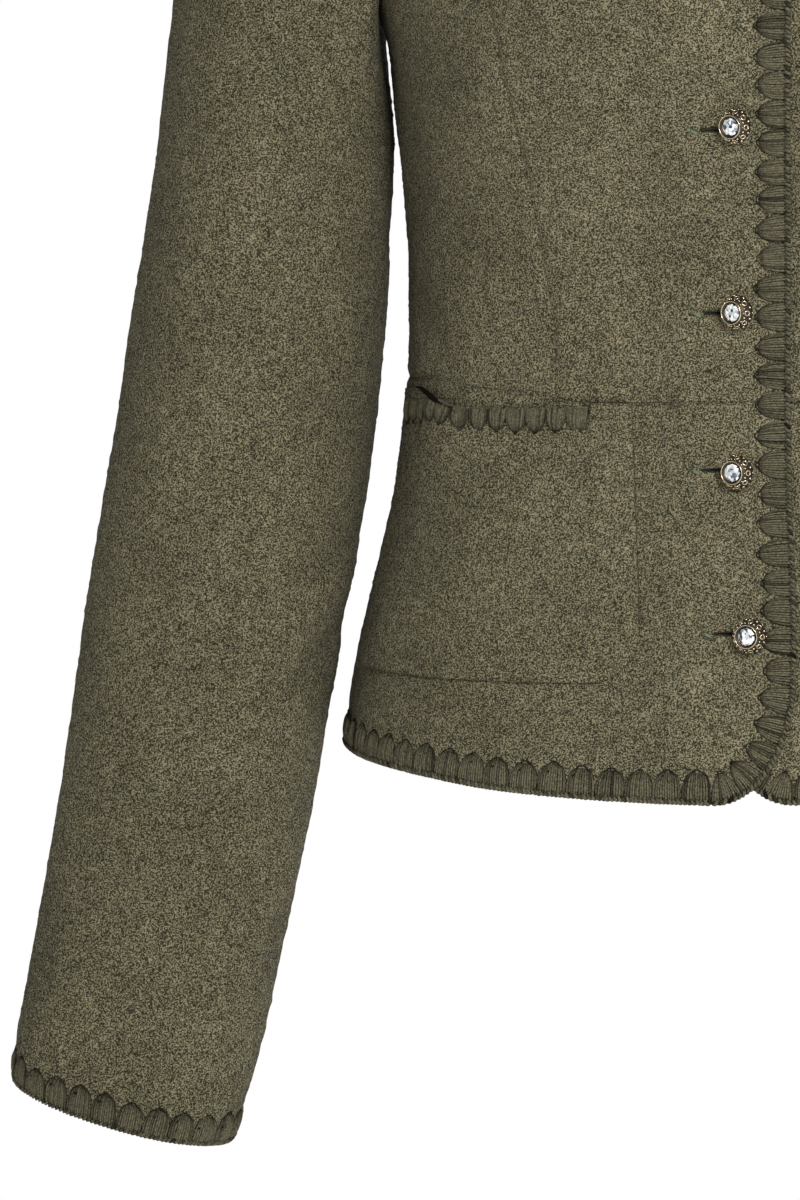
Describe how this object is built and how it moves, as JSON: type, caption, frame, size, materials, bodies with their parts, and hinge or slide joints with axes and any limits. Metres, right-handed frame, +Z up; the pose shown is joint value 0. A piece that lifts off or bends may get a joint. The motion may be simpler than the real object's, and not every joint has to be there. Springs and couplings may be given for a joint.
{
  "type": "dirndl jacket",
  "caption": "Fitted olive boiled-wool dirndl jacket with crochet-edged fronts, neck, peplum, patch pockets and long sleeves, closed with domed metal buttons.",
  "frame": {"origin": "middle of the line over the wearer's shoulders, 22 mm under the shoulder seams' neck ends, where the jacket is held up", "axes": "+Z up along the body, -Y out of the front, +X towards the wearer's left"},
  "size_m": [0.6226, 0.2574, 0.697],
  "materials": {
    "boiled_wool": "melange boiled wool, matt, slightly nubby",
    "crochet_yarn": "matt wool yarn, darker olive",
    "antique_metal": "antique silvered brass with a clear crystal"
  },
  "bodies": {
    "root": {"front_right": "boiled_wool", "front_left": "boiled_wool", "side_front_right": "boiled_wool", "side_front_left": "boiled_wool", "back": "boiled_wool", "side_back_right": "boiled_wool", "side_back_left": "boiled_wool", "peplum_front_right": "boiled_wool", "peplum_front_left": "boiled_wool", "peplum_back": "boiled_wool", "pocket_right": "boiled_wool", "pocket_left": "boiled_wool", "sleeve_right": "boiled_wool", "sleeve_left": "boiled_wool", "edging_front_right": "crochet_yarn", "edging_front_left": "crochet_yarn", "edging_neck": "crochet_yarn", "edging_hem": "crochet_yarn", "edging_cuff_right": "crochet_yarn", "edging_cuff_left": "crochet_yarn", "edging_pocket_right": "crochet_yarn", "edging_pocket_left": "crochet_yarn", "button_1": "antique_metal", "button_2": "antique_metal", "button_3": "antique_metal", "button_4": "antique_metal", "button_5": "antique_metal", "button_6": "antique_metal"}
  },
  "joints": []
}
